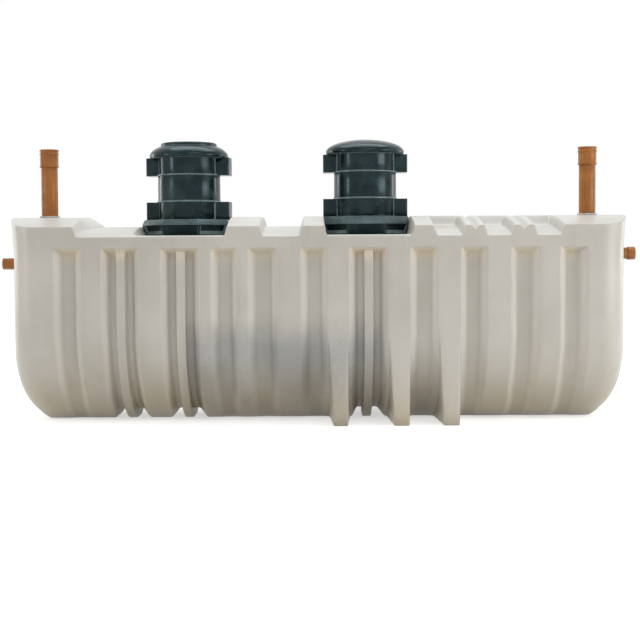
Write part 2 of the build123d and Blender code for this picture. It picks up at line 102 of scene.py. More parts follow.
# Roof: pockets, grooves, the bank across the outlet end and the level seats of the turrets
pocket_depth = 0.093
pocket_draft = 0.024
through_pockets = [(-2.210, -0.828), (-0.531, -0.145), (0.053, 0.861)]
blind_pockets = [(1.036, 1.319), (1.490, 1.759), (1.939, 2.208)]
blind_end_y = 0.300
blind_ramp = 0.090
groove_xs = [1.409, 1.848]
groove_half = 0.036
groove_depth = 0.040
bank_reach = 0.600
bank_width = 0.110
bank_fade = 0.35
seat_z = 1.734
seat_reach = 0.441
seat_fade = 0.12
outlet_turn = radians(-7)

# Ends: foot, haunch and side of their outline, then their lean, bow and rounded corners
end_foot_x = 2.615
end_haunch = (2.800, 0.270)
end_side_z = 0.640
end_lean = 0.022
end_lean_z = 1.600
end_bow = 0.190
end_corner_r = 0.240
end_corner_share = 0.55
corner_steps = 10
bow_steps = [0.93, 0.85, 0.76, 0.67, 0.58, 0.50, 0.43, 0.40, 0.37, 0.34, 0.31, 0.28, 0.20, 0.10, 0.0]
straight_steps = 5
end_along = 0.2        # how far the mark along the tank runs on past the last seam

crown_r = (half_width**2 + (crest_z - eave_z) ** 2) / (2 * (crest_z - eave_z))


def arc_through(first, middle, last):
    """Centre and radius of the circle through three points."""
    (ax, ay), (bx, by), (cx, cy) = first, middle, last
    turn = 2 * (ax * (by - cy) + bx * (cy - ay) + cx * (ay - by))
    a2, b2, c2 = ax**2 + ay**2, bx**2 + by**2, cx**2 + cy**2
    x = (a2 * (by - cy) + b2 * (cy - ay) + c2 * (ay - by)) / turn
    y = (a2 * (cx - bx) + b2 * (ax - cx) + c2 * (bx - ax)) / turn
    return x, y, sqrt((ax - x) ** 2 + (ay - y) ** 2)


belly_arc = arc_through((belly_flat, 0), haunch, (half_width, side_z))
end_arc = arc_through((end_foot_x, 0), end_haunch, (end_reach - end_lean, end_side_z))


def arc_at(arc, z):
    """How far out an arc lies at height z."""
    x, y, r = arc
    return x + sqrt(max(0, r**2 - (y - z) ** 2))


def crown_z(y):
    """Height of the plain roof at y."""
    return crest_z - crown_r + sqrt(crown_r**2 - y**2)


def end_outline(z):
    """The end seen from above at height z: start of its corner, then points round to the middle."""
    half = arc_at(belly_arc, z) if z < side_z else half_width
    reach = arc_at(end_arc, z) if z < end_side_z else end_reach - end_lean
    reach += end_lean * max(0, z - end_lean_z) / (crest_z - end_lean_z)
    bow = end_bow * (half / half_width) ** 2
    bow_r = (half**2 + bow**2) / (2 * bow)
    bow_x = reach - bow_r
    corner = min(end_corner_r, end_corner_share * half)
    corner_x = bow_x + sqrt((bow_r - corner) ** 2 - (half - corner) ** 2)
    lean = asin((half - corner) / (bow_r - corner))
    points = []
    for step in range(corner_steps + 1):
        angle = (pi / 2 - lean) * step / corner_steps
        points.append((corner_x + corner * sin(angle), half - corner + corner * cos(angle)))
    touch_y = points[-1][1]
    points += [(bow_x + sqrt(bow_r**2 - (touch_y * step) ** 2), touch_y * step) for step in bow_steps]
    return corner_x, points


def spread(start, end, count):
    """Evenly spaced values from start to end."""
    return [start + (end - start) * step / (count - 1) for step in range(count)]


# Columns along the hull stand close together where the surface turns, and rows likewise
seams = [outlet_end_x, outlet_joint_x, inlet_joint_x, inlet_end_x]
columns = list(seams)
for x0, x1, *_, rib in channels:
    middle = (x0 + x1) / 2
    columns += spread(x0 - soft, x0 + flank + soft, 9) + spread(x1 - flank - soft, x1 + soft, 9)
    columns.append(middle)
    if rib:
        for side in (-1, 1):
            columns += [middle + side * step for step in spread(rib / 2, rib / 2 + rib_flank, 6)]
for x0, x1 in through_pockets + blind_pockets:
    columns += spread(x0 - soft, x0 + pocket_draft + soft, 7)
    columns += spread(x1 - pocket_draft - soft, x1 + soft, 7)
    columns += spread(x0, x1, 6)
for x in groove_xs:
    columns += spread(x - groove_half - soft, x + groove_half + soft, 11)
seat_x = outlet_joint_x - seat_reach
columns += spread(seat_x - soft, seat_x + pocket_draft + soft, 7)
foot_steps = [0, 0.002, 0.004, foot_wall, 0.0079, 0.013, 0.020]
foot_columns = []
for x0, x1 in feet:
    foot_columns += [x0 + step for step in foot_steps] + [x1 - step for step in foot_steps]

# The columns at the walls of the feet come first, and others keep clear of them and of each other
clear_inside = 0.021
clear_outside = 0.001
least_gap = 0.0018
kept = sorted(foot_columns)
for x in sorted(columns):
    at_wall = any(x0 - clear_outside < x < x0 + clear_inside or x1 - clear_inside < x < x1 + clear_outside
                  for x0, x1 in feet)
    if not at_wall and all(abs(x - other) > least_gap for other in kept):
        kept.append(x)
for x in seams:
    near = min(kept, key=lambda other: abs(x - other))
    kept[kept.index(near)] = x
columns = sorted(x for x in kept if outlet_end_x <= x <= inlet_end_x)

belly_rows = 20
top_angle = asin((side_z - belly_arc[1]) / belly_arc[2])
low_angle = asin((0 - belly_arc[1]) / belly_arc[2])
levels = [belly_arc[1] + belly_arc[2] * sin(low_angle + (top_angle - low_angle) * row / belly_rows)
          for row in range(belly_rows + 1)]
side_rows = spread(0.95, 1.50, 5)
ledge_rows = spread(ledge_foot_z - 0.012, ledge_z + 0.010, 10)
levels += side_rows + ledge_rows + [roof_seam_z, 1.700, 1.768, eave_z]
eave_row = len(levels) - 1
crown_ys = [y for x, y in end_outline(eave_z)[1]]


def octagon_reach(centre_x, y, side, turn):
    """How far the cut for a turret plate reaches along the tank at y, to one side."""
    reaches = [(seat_reach - y * sin(angle) * side) / cos(angle)
               for angle in (turn - pi / 4, turn, turn + pi / 4)]
    return centre_x + side * min(reaches)


def roof_shift(x, y):
    """How far a point of the roof moves along the tank where a pocket's end wall isn't straight."""
    shift = 0
    bank = bank_width * max(0, 1 - (y / bank_reach) ** 2)
    foot_x = through_pockets[0][0] + pocket_draft
    if x > foot_x - pocket_draft:
        share = (x - foot_x + pocket_draft) / pocket_draft
        shift += bank * (share if share < 1 else max(0, 1 - (x - foot_x) / bank_fade))
    for wall_x, side, centre_x, turn in (
        (through_pockets[0][1] - pocket_draft, 1, outlet_joint_x, outlet_turn),
        (through_pockets[2][1] - pocket_draft, 1, inlet_joint_x, 0),
        (through_pockets[2][0] + pocket_draft, -1, inlet_joint_x, 0),
    ):
        notch = max(0, side * (octagon_reach(centre_x, y, side, turn) - wall_x))
        away = max(0, abs(x - wall_x - side * pocket_draft / 2) - pocket_draft / 2 - soft)
        shift += side * notch * max(0, 1 - away / seat_fade)
    return shift


def foot_at(x, row, y, z):
    """A point of the belly carried out to the foot that its column crosses, and how much of it is foot."""
    for x0, x1 in feet:
        if not x0 < x < x1:
            continue
        off = min(x - x0, x1 - x)
        share = min(1, off / foot_wall)
        inward = min(1, max(0, (off - foot_wall) / foot_edge_r))
        edge = foot_edge_r * (1 - sqrt(1 - (1 - inward) ** 2))
        side_y = half_width - edge * min(1, (side_z - z) / edge_fade_z)
        low_z = edge * min(1, max(0, y - belly_flat) / edge_fade_y)
        ramp_y, ramp_z = foot_chamfer
        if row <= 0:
            out_y, out_z = y, low_z
        elif row <= sole_rows:
            out_y = belly_flat + (side_y - ramp_y - belly_flat) * row / sole_rows
            out_z = edge * min(1, (out_y - belly_flat) / edge_fade_y)
        else:
            out_y = side_y
            out_z = ramp_z + (side_z - ramp_z) * (row - sole_rows - 1) / (belly_rows - sole_rows - 1)
        y += (out_y - y) * share
        z += (out_z - z) * share
        across = 1 - y / half_width
        down = 1 - z / side_z
        left = -foot_flare * across + foot_left_draft * down
        right = foot_flare * across - foot_right_draft * down
        middle = (x - x0) / (x1 - x0)
        wall_share = min(0.5, foot_hem / (x1 - x0))
        blend = min(1, max(0, (middle - wall_share) / (1 - 2 * wall_share)))
        x += left * (1 - blend) + right * blend
        return x, y, z, share
    return x, y, z, 0.0


def foot_pull(x, y, z):
    """How far a point just outside a foot gives way to the foot's flared wall."""
    across = 1 - y / half_width
    down = 1 - z / side_z
    for x0, x1 in feet:
        if x0 - foot_give < x <= x0:
            return (foot_left_draft * down - foot_flare * across) * (1 - (x0 - x) / foot_give)
        if x1 <= x < x1 + foot_give:
            return (foot_flare * across - foot_right_draft * down) * (1 - (x - x1) / foot_give)
    return 0


hull = bmesh.new()
along_layer = hull.verts.layers.float.new("along")
foot_layer = hull.verts.layers.float.new("foot")
rim_layer = hull.verts.layers.float.new("rim")


def hull_point(place, along, foot, rim):
    """One point of the hull, with its marks for the mould and for the rounding of the eaves."""
    vert = hull.verts.new(place)
    vert[along_layer] = along
    vert[foot_layer] = foot
    vert[rim_layer] = rim
    return vert


def close_grid(grid):
    """Faces between neighbouring rows and columns of points."""
    for row, following in zip(grid, grid[1:]):
        for corners in zip(row, row[1:], following[1:], following):
            distinct = list(dict.fromkeys(corners))
            if len(distinct) > 2:
                hull.faces.new(distinct)


def belly_column(x, side):
    """One column of points between the ends, from under the middle up the side and over the roof."""
    column = []
    rows = [(-2, 0, 0), (-1, belly_flat / 2, 0)]
    rows += [(row, arc_at(belly_arc, z) if row < belly_rows else half_width, z)
             for row, z in enumerate(levels)]
    for row, y, z in rows:
        foot = 0.0
        place_x = x
        if row < belly_rows:
            pulled = foot_pull(x, y, z)
            place_x, y, z, foot = foot_at(x, row, y, z)
            place_x += pulled
        column.append(hull_point((place_x, side * y, z), x, foot, float(row == eave_row)))
    for y in crown_ys[1:]:
        column.append(hull_point((x + roof_shift(x, side * y), side * y, crown_z(y)), x, 0.0, 0.0))
    return column


def end_columns(sign, seam_x, side):
    """Columns of points from a seam to where the corner of the end begins."""
    outlines = [end_outline(z) for z in levels]
    grid = []
    for step in range(1, straight_steps + 1):
        share = step / straight_steps
        along = seam_x + sign * end_along * share
        column = []
        low_x = seam_x + (sign * outlines[0][0] - seam_x) * share
        column.append(hull_point((low_x, 0, 0), along, 0.0, 0.0))
        column.append(hull_point((low_x, side * belly_flat / 2, 0), along, 0.0, 0.0))
        for row, z in enumerate(levels):
            corner_x, points = outlines[row]
            x = seam_x + (sign * corner_x - seam_x) * share
            column.append(hull_point((x, side * points[0][1], z), along, 0.0, float(row == eave_row)))
        for index, y in enumerate(crown_ys):
            if index:
                edge_x = end_outline(crown_z(y))[1][index][0]
                x = seam_x + (sign * edge_x - seam_x) * share
                rim = float(step == straight_steps)
                column.append(hull_point((x, side * y, crown_z(y)), along, 0.0, rim))
        grid.append(column)
    return grid


def end_wall(sign, seam_x, side, last_column):
    """The end's own wall, column by column round from its corner to its middle line."""
    along = seam_x + sign * end_along
    grid = [last_column[2:3 + eave_row]]
    for index, y in enumerate(crown_ys):
        if not index:
            continue
        column = []
        rise = (crown_z(y) - roof_seam_z) / (eave_z - roof_seam_z)
        for row, z in enumerate(levels[:-1]):
            if z > roof_seam_z:
                z = roof_seam_z + (z - roof_seam_z) * rise
            x, out_y = end_outline(z)[1][index]
            column.append(hull_point((sign * x, side * out_y, z), along, 0.0, 0.0))
        column.append(last_column[2 + eave_row + index])
        grid.append(column)
    close_grid(grid)
    return [column[0] for column in grid]


soles = {}
for side in (-1, 1):
    grid = [belly_column(x, side) for x in columns]
    for sign, seam_x in ((1, inlet_end_x), (-1, outlet_end_x)):
        added = end_columns(sign, seam_x, side)
        grid = grid + added if sign > 0 else added[::-1] + grid
    close_grid(grid)
    for sign, seam_x in ((1, inlet_end_x), (-1, outlet_end_x)):
        last_column = grid[-1] if sign > 0 else grid[0]
        foot_line = end_wall(sign, seam_x, side, last_column)
        soles.setdefault(sign, []).append([last_column[0], last_column[1]] + foot_line)
for outline in soles.values():
    for half_sole in outline:
        hull.faces.new(half_sole)
bmesh.ops.remove_doubles(hull, verts=hull.verts, dist=0.00002)
bmesh.ops.recalc_face_normals(hull, faces=hull.faces)
weight_layer = hull.edges.layers.float.new("bevel_weight_edge")
for edge in hull.edges:
    if edge.verts[0][rim_layer] > 0.5 and edge.verts[1][rim_layer] > 0.5:
        edge[weight_layer] = 1.0
tank_mesh = bpy.data.meshes.new("tank_skin")
hull.to_mesh(tank_mesh)
hull.free()
tank = bpy.data.objects.new("tank_skin", tank_mesh)
bpy.context.scene.collection.objects.link(tank)


def maths(tree, operation, *values):
    """One maths node; each value is a number or the output of another node."""
    node = tree.nodes.new("ShaderNodeMath")
    node.operation = operation
    for socket, value in zip(node.inputs, values):
        if isinstance(value, (int, float)):
            socket.default_value = value
        else:
            tree.links.new(value, socket)
    return node.outputs[0]


def soft_step(tree, value, low, high):
    """A smooth rise from 0 at low to 1 at high."""
    node = tree.nodes.new("ShaderNodeMapRange")
    node.interpolation_type = "SMOOTHSTEP"
    for name, given in (("Value", value), ("From Min", low), ("From Max", high)):
        if isinstance(given, (int, float)):
            node.inputs[name].default_value = given
        else:
            tree.links.new(given, node.inputs[name])
    return node.outputs["Result"]


def new_press(name, sizes):
    """A group that moves the hull's points, with named sizes; gives its tree and what goes into it."""
    tree = bpy.data.node_groups.new(name, "GeometryNodeTree")
    tree.interface.new_socket("Geometry", in_out="INPUT", socket_type="NodeSocketGeometry")
    for size in sizes:
        tree.interface.new_socket(size, in_out="INPUT", socket_type="NodeSocketFloat")
    tree.interface.new_socket("Geometry", in_out="OUTPUT", socket_type="NodeSocketGeometry")
    given = tree.nodes.new("NodeGroupInput").outputs
    place = tree.nodes.new("GeometryNodeInputPosition")
    parts = tree.nodes.new("ShaderNodeSeparateXYZ")
    tree.links.new(place.outputs[0], parts.inputs[0])
    marks = {}
    for mark in ("along", "foot"):
        node = tree.nodes.new("GeometryNodeInputNamedAttribute")
        node.data_type = "FLOAT"
        node.inputs["Name"].default_value = mark
        marks[mark] = node.outputs["Attribute"]
    return tree, given, parts.outputs, marks


def finish_press(tree, given, x, y, z):
    """Sets the new place of every point and closes the group."""
    place = tree.nodes.new("ShaderNodeCombineXYZ")
    for socket, value in zip(place.inputs, (x, y, z)):
        tree.links.new(value, socket)
    setter = tree.nodes.new("GeometryNodeSetPosition")
    tree.links.new(given["Geometry"], setter.inputs["Geometry"])
    tree.links.new(place.outputs[0], setter.inputs["Position"])
    tree.links.new(setter.outputs[0], tree.nodes.new("NodeGroupOutput").inputs["Geometry"])
    return tree


def between(tree, along, given, edge):
    """1 between Start and End, with a soft flank of a given width inside each."""
    low = maths(tree, "ADD", maths(tree, "ADD", given["Start"], edge), soft)
    high = maths(tree, "SUBTRACT", maths(tree, "SUBTRACT", given["End"], edge), soft)
    rise = soft_step(tree, along, maths(tree, "SUBTRACT", given["Start"], soft), low)
    fall = soft_step(tree, along, maths(tree, "ADD", given["End"], soft), high)
    return maths(tree, "MULTIPLY", rise, fall)


# A channel: the side is set in up to a sloping ledge, and a deep one lifts the belly as well
tree, given, point, marks = new_press("press_channel", ("Start", "End", "Depth", "Keel", "Rib"))
pressed = between(tree, marks["along"], given, flank)
pressed = maths(tree, "MULTIPLY", pressed, maths(tree, "SUBTRACT", 1.0, marks["foot"]))
middle = maths(tree, "MULTIPLY", maths(tree, "ADD", given["Start"], given["End"]), 0.5)
off_middle = maths(tree, "ABSOLUTE", maths(tree, "SUBTRACT", marks["along"], middle))
near = maths(tree, "MULTIPLY", given["Rib"], 0.5)
rib = soft_step(tree, off_middle, maths(tree, "ADD", near, rib_flank), near)
rib = maths(tree, "MULTIPLY", rib, maths(tree, "GREATER_THAN", given["Rib"], 0.001))
plain = maths(tree, "SUBTRACT", 1.0, rib)
below_ledge = soft_step(tree, point["Z"], ledge_z + soft, ledge_foot_z - soft)
set_in = maths(tree, "MULTIPLY", given["Depth"], plain)
set_in = maths(tree, "ADD", set_in, maths(tree, "MULTIPLY", rib, rib_set_in))
set_in = maths(tree, "MULTIPLY", set_in, maths(tree, "MINIMUM", pressed, below_ledge))
narrowed = maths(tree, "SUBTRACT", 1.0, maths(tree, "DIVIDE", set_in, half_width))
new_y = maths(tree, "MULTIPLY", point["Y"], narrowed)
down = maths(tree, "SUBTRACT", 1.0, maths(tree, "DIVIDE", point["Z"], side_z))
down = maths(tree, "MAXIMUM", 0.0, down)
lift = maths(tree, "MULTIPLY", given["Keel"], pressed)
lift = maths(tree, "MULTIPLY", lift, maths(tree, "MULTIPLY", plain, down))

# Painted light in a channel: a mark that the tank's finish turns paler, standing in for the light on its
# flanks and in its shaded floor; most on its flanks, little on a shallow floor, more on a deep one
floor_light_share = 0.08
deep_light_share = 5.5
flanks = maths(tree, "MULTIPLY", pressed, maths(tree, "SUBTRACT", 1.0, pressed))
flanks = maths(tree, "MULTIPLY", flanks, 4.0)
floor_share = maths(tree, "MULTIPLY_ADD", given["Keel"], deep_light_share, floor_light_share)
channel_light = maths(tree, "MULTIPLY", maths(tree, "MULTIPLY", pressed, plain), floor_share)
channel_light = maths(tree, "MAXIMUM", flanks, channel_light)
channel_light = maths(tree, "MULTIPLY", channel_light, below_ledge)
before = tree.nodes.new("GeometryNodeInputNamedAttribute")
before.data_type = "FLOAT"
before.inputs["Name"].default_value = "painted_light"
keep = tree.nodes.new("GeometryNodeStoreNamedAttribute")
keep.data_type = "FLOAT"
keep.domain = "POINT"
keep.inputs["Name"].default_value = "painted_light"
tree.links.new(given["Geometry"], keep.inputs["Geometry"])
tree.links.new(maths(tree, "MAXIMUM", before.outputs["Attribute"], channel_light), keep.inputs["Value"])
light_marked = {"Geometry": keep.outputs["Geometry"]}
press_channel = finish_press(tree, light_marked, point["X"], new_y, maths(tree, "ADD", point["Z"], lift))

# A pocket or groove in the roof; its open ends lower the top of the side as well
tree, given, point, marks = new_press("sink_pocket", ("Start", "End", "Depth", "Draft", "Blind End"))
sunk = between(tree, marks["along"], given, given["Draft"])
off_crest = maths(tree, "ABSOLUTE", point["Y"])
ramp_start = maths(tree, "SUBTRACT", given["Blind End"], blind_ramp)
ramp = soft_step(tree, off_crest, ramp_start, given["Blind End"])
ramp = maths(tree, "MAXIMUM", ramp, maths(tree, "LESS_THAN", given["Blind End"], 0.001))
share = maths(tree, "DIVIDE", maths(tree, "SUBTRACT", point["Z"], roof_seam_z), eave_z - roof_seam_z)
share = maths(tree, "MINIMUM", 1.0, maths(tree, "MAXIMUM", 0.0, share))
depth = maths(tree, "MULTIPLY", given["Depth"], sunk)
depth = maths(tree, "MULTIPLY", depth, maths(tree, "MULTIPLY", ramp, share))
sink_pocket = finish_press(tree, given, point["X"], point["Y"], maths(tree, "SUBTRACT", point["Z"], depth))

# A level seat for a turret
tree, given, point, marks = new_press("level_seat", ("Start", "End", "Level"))
seated = between(tree, marks["along"], given, pocket_draft)
drop = maths(tree, "SUBTRACT", point["Z"], maths(tree, "MINIMUM", point["Z"], given["Level"]))
new_z = maths(tree, "SUBTRACT", point["Z"], maths(tree, "MULTIPLY", drop, seated))
level_seat = finish_press(tree, given, point["X"], point["Y"], new_z)

# The mould: every channel, pocket, groove and seat in turn, then the skin's material
mould = bpy.data.node_groups.new("tank_mould", "GeometryNodeTree")
mould.interface.new_socket("Geometry", in_out="INPUT", socket_type="NodeSocketGeometry")
mould.interface.new_socket("Skin", in_out="INPUT", socket_type="NodeSocketMaterial")
mould.interface.new_socket("Geometry", in_out="OUTPUT", socket_type="NodeSocketGeometry")
mould_in = mould.nodes.new("NodeGroupInput").outputs
stream = mould_in["Geometry"]
presses = [(press_channel, sizes) for sizes in channels]
presses += [(sink_pocket, (x0, x1, pocket_depth, pocket_draft, 0.0)) for x0, x1 in through_pockets]
presses += [(sink_pocket, (x0, x1, pocket_depth, pocket_draft, blind_end_y)) for x0, x1 in blind_pockets]
for x in groove_xs:
    presses.append((sink_pocket, (x - groove_half, x + groove_half, groove_depth, groove_half, 0.0)))
presses.append((level_seat, (seat_x, through_pockets[0][1], seat_z)))
presses.append((level_seat, (*through_pockets[2], seat_z)))
for group, sizes in presses:
    node = mould.nodes.new("GeometryNodeGroup")
    node.node_tree = group
    mould.links.new(stream, node.inputs["Geometry"])
    for socket, size in zip(node.inputs[1:], sizes):
        socket.default_value = size
    stream = node.outputs["Geometry"]
realize = mould.nodes.new("GeometryNodeRealizeInstances")
paint = mould.nodes.new("GeometryNodeSetMaterial")
mould.links.new(stream, realize.inputs[0])
mould.links.new(realize.outputs[0], paint.inputs["Geometry"])
mould.links.new(mould_in["Skin"], paint.inputs["Material"])
mould.links.new(paint.outputs[0], mould.nodes.new("NodeGroupOutput").inputs["Geometry"])


def new_material(name, roughness):
    """A material with its node tree and Principled shader to hand."""
    material = bpy.data.materials.new(name)
    material.use_nodes = True
    shader = material.node_tree.nodes["Principled BSDF"]
    shader.inputs["Roughness"].default_value = roughness
    return material, material.node_tree, shader


def blend_colours(tree, factor, first, second):
    """Two colours mixed; each is a colour or the output of another node."""
    node = tree.nodes.new("ShaderNodeMix")
    node.data_type = "RGBA"
    for socket, value in ((node.inputs[0], factor), (node.inputs[6], first), (node.inputs[7], second)):
        if isinstance(value, tuple):
            socket.default_value = (*value, 1)
        elif isinstance(value, (int, float)):
            socket.default_value = value
        else:
            tree.links.new(value, socket)
    return node.outputs[2]


def tinted(tree, colour, mask, tone, share):
    """A colour shifted towards a tone where a mask lies, by a share of it."""
    return blend_colours(tree, maths(tree, "MULTIPLY", mask, share), colour, tone)


def cloud(tree, place, scale, detail):
    """Soft noise about a place, from 0 to 1."""
    node = tree.nodes.new("ShaderNodeTexNoise")
    node.inputs["Scale"].default_value = scale
    node.inputs["Detail"].default_value = detail
    tree.links.new(place, node.inputs["Vector"])
    return node.outputs["Fac"]


def new_effect(name, inputs, outputs):
    """A shader group for an effect that several finishes share."""
    tree = bpy.data.node_groups.new(name, "ShaderNodeTree")
    for socket, kind in inputs:
        tree.interface.new_socket(socket, in_out="INPUT", socket_type=kind)
    for socket, kind in outputs:
        tree.interface.new_socket(socket, in_out="OUTPUT", socket_type=kind)
    return tree, tree.nodes.new("NodeGroupInput").outputs, tree.nodes.new("NodeGroupOutput").inputs


def place_effect(tree, effect, **values):
    """An effect placed in a finish with its own values; gives its outputs."""
    node = tree.nodes.new("ShaderNodeGroup")
    node.node_tree = effect
    for name, value in values.items():
        socket = node.inputs[name.replace("_", " ")]
        if isinstance(value, (int, float)):
            socket.default_value = value
        else:
            tree.links.new(value, socket)
    return node.outputs


# Grain of a rotomoulded face: a fine orange peel over slow waves
grain, given, gives = new_effect(
    "mould_grain",
    [("Place", "NodeSocketVector"), ("Peel", "NodeSocketFloat"), ("Wave", "NodeSocketFloat")],
    [("Height", "NodeSocketFloat")],
)
peel = maths(grain, "MULTIPLY", cloud(grain, given["Place"], 90.0, 2.0), given["Peel"])
wave = maths(grain, "MULTIPLY", cloud(grain, given["Place"], 3.5, 1.0), given["Wave"])
grain.links.new(maths(grain, "ADD", peel, wave), gives["Height"])

# Handling marks: patches with finer scuffs inside them
scuffs, given, gives = new_effect(
    "scuffs",
    [("Place", "NodeSocketVector"), ("Scale", "NodeSocketFloat"), ("Amount", "NodeSocketFloat")],
    [("Mask", "NodeSocketFloat")],
)
patch = scuffs.nodes.new("ShaderNodeTexNoise")
scuffs.links.new(given["Place"], patch.inputs["Vector"])
scuffs.links.new(given["Scale"], patch.inputs["Scale"])
patch.inputs["Detail"].default_value = 6.0
fine = cloud(scuffs, given["Place"], 42.0, 3.0)
patchy = maths(scuffs, "ADD", patch.outputs["Fac"], maths(scuffs, "MULTIPLY", fine, 0.22))
mask = soft_step(scuffs, patchy, 0.52, 0.82)
scuffs.links.new(maths(scuffs, "MULTIPLY", mask, given["Amount"]), gives["Mask"])


def add_grain(tree, shader, place, peel, wave, depth):
    """Lets the grain of the mould catch the light."""
    bump = tree.nodes.new("ShaderNodeBump")
    bump.inputs["Strength"].default_value = 0.35
    bump.inputs["Distance"].default_value = depth
    height = place_effect(tree, grain, Place=place, Peel=peel, Wave=wave)["Height"]
    tree.links.new(height, bump.inputs["Height"])
    tree.links.new(bump.outputs["Normal"], shader.inputs["Normal"])


# The tank's finish: two milky tones in soft clouds, with runs, contents and scuffs over them, and painted
# light and shade
milky_grey = (0.515, 0.492, 0.447)
milky_white = (0.580, 0.560, 0.518)
run_stain = (0.44, 0.415, 0.355)
painted_light_tone = (0.82, 0.79, 0.74)
contents_grey = (0.275, 0.286, 0.296)
belly_shade_tan = (0.54, 0.435, 0.245)
painted_head_light = (0.80, 0.70, 0.53)
scuffed_white = (0.62, 0.60, 0.56)
tank_paint, tree, shader = new_material("natural_polyethylene", roughness=0.40)
place = tree.nodes.new("ShaderNodeTexCoord").outputs["Object"]
split_place = tree.nodes.new("ShaderNodeSeparateXYZ")
tree.links.new(place, split_place.inputs[0])
x, y, z = split_place.outputs
mottle = soft_step(tree, cloud(tree, place, 1.6, 5.0), 0.3, 0.7)
colour = blend_colours(tree, mottle, milky_grey, milky_white)

# Faint runs down the sides
runs_place = tree.nodes.new("ShaderNodeMapping")
runs_place.inputs["Scale"].default_value = (9.0, 9.0, 0.7)
tree.links.new(place, runs_place.inputs["Vector"])
runs = soft_step(tree, cloud(tree, runs_place.outputs[0], 1.0, 4.0), 0.5, 0.8)
colour = tinted(tree, colour, runs, run_stain, share=0.35)

# Painted light: paler where the mould marked the flanks and floors of the channels
painted_light = tree.nodes.new("ShaderNodeAttribute")
painted_light.attribute_name = "painted_light"
colour = tinted(tree, colour, painted_light.outputs["Fac"], painted_light_tone, share=0.70)

# What the middle chamber holds shows as a grey shade through its skin: its two sides and its level
held_from = (-1.30, -1.10)
held_to = (0.62, 0.50)
held_level = (1.14, 0.80)
held = maths(tree, "MULTIPLY", soft_step(tree, x, *held_from), soft_step(tree, x, *held_to))
level = maths(tree, "ADD", z, maths(tree, "MULTIPLY", cloud(tree, place, 4.0, 3.0), 0.22))
held = maths(tree, "MULTIPLY", held, soft_step(tree, level, *held_level))
colour = tinted(tree, colour, held, contents_grey, share=0.70)

# Painted shade and warm light from the ground under the belly: a tan that fades out upwards
belly_shade_fade = (0.52, -0.18)
belly_shade = maths(tree, "SUBTRACT", z, maths(tree, "MULTIPLY", cloud(tree, place, 3.0, 5.0), 0.30))
belly_shade = soft_step(tree, belly_shade, *belly_shade_fade)
colour = tinted(tree, colour, belly_shade, belly_shade_tan, share=0.55)

# Painted light: the sloping heads of the channels are paler, as where light falls on them; the bowed ends
# have none
head_ends = (2.36, 2.30)
head = maths(tree, "MULTIPLY", soft_step(tree, z, ledge_foot_z - 0.10, ledge_foot_z + 0.02),
             soft_step(tree, z, ledge_z + 0.01, ledge_z))
head = maths(tree, "MULTIPLY", head, soft_step(tree, maths(tree, "ABSOLUTE", x), *head_ends))
inset = soft_step(tree, maths(tree, "ABSOLUTE", y), half_width - 0.004, half_width - 0.020)
colour = tinted(tree, colour, maths(tree, "MULTIPLY", head, inset), painted_head_light, share=0.60)

# Pale scuffs from handling, which are rougher as well
scuffed = place_effect(tree, scuffs, Place=place, Scale=1.1, Amount=0.5)["Mask"]
colour = blend_colours(tree, scuffed, colour, scuffed_white)
tree.links.new(colour, shader.inputs["Base Color"])
tree.links.new(maths(tree, "ADD", maths(tree, "MULTIPLY", scuffed, 0.25), 0.36), shader.inputs["Roughness"])
add_grain(tree, shader, place, peel=0.15, wave=1.0, depth=0.004)

# The hull is pressed, its eaves are rounded, and the result is one plain mesh
mould_step = tank.modifiers.new("mould", "NODES")
mould_step.node_group = mould
skin_socket = next(item.identifier for item in mould.interface.items_tree if item.name == "Skin")
mould_step[skin_socket] = tank_paint
rounding = tank.modifiers.new("eaves", "BEVEL")
rounding.limit_method = "WEIGHT"
rounding.width = eave_r
rounding.segments = 3
bpy.context.view_layer.update()
moulded = tank.evaluated_get(bpy.context.evaluated_depsgraph_get())
whole_skin = bpy.data.meshes.new_from_object(moulded)
bpy.data.objects.remove(tank)


def tank_node(place):
    """The piece of the tank that a point of its skin belongs to."""
    if place.x < outlet_end_x:
        return "outlet_end"
    if place.x > inlet_end_x:
        return "inlet_end"
    length = "outlet" if place.x < outlet_joint_x else "middle" if place.x < inlet_joint_x else "inlet"
    return length + ("_chamber" if place.z < roof_seam_z else "_roof")


def finished_mesh(piece, name):
    """Applies a piece's modifiers and marks its true corners."""
    bpy.context.view_layer.update()
    shown = piece.evaluated_get(bpy.context.evaluated_depsgraph_get())
    mesh = bpy.data.meshes.new_from_object(shown)
    piece.modifiers.clear()
    piece.data = mesh
    mesh.name = name
    mesh.shade_smooth()
    mesh.set_sharp_from_angle(angle=radians(42))


def add_piece(mesh, name):
    """A new object for a mesh that already lies in place."""
    piece = bpy.data.objects.new(name, mesh)
    bpy.context.scene.collection.objects.link(piece)
    return piece


for node in ("outlet_end", "outlet_chamber", "outlet_roof", "middle_chamber", "middle_roof",
             "inlet_chamber", "inlet_roof", "inlet_end"):
    part = bmesh.new()
    part.from_mesh(whole_skin)
    others = [face for face in part.faces if tank_node(face.calc_center_median()) != node]
    bmesh.ops.delete(part, geom=others, context="FACES")
    mesh = bpy.data.meshes.new(node + "_skin")
    part.to_mesh(mesh)
    part.free()
    mesh.materials.clear()
    mesh.materials.append(tank_paint)
    piece = add_piece(mesh, node + "_skin")
    shell = piece.modifiers.new("wall", "SOLIDIFY")
    shell.thickness = wall
    shell.offset = -1
    finished_mesh(piece, node + "_skin")
    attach(piece, "root")
    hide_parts(node)


# Joint bands.
# Welded straps of the same polyethylene that wrap the seams of the chambers from ledge to ledge,
# with edges rounded by trimming.
# Shares of painted highlight, which the turrets' finish turns paler
edge_highlight = (0.0, 1.0, 0.45)    # on a plain face, on a rounded edge and on the slope of a turret's plate


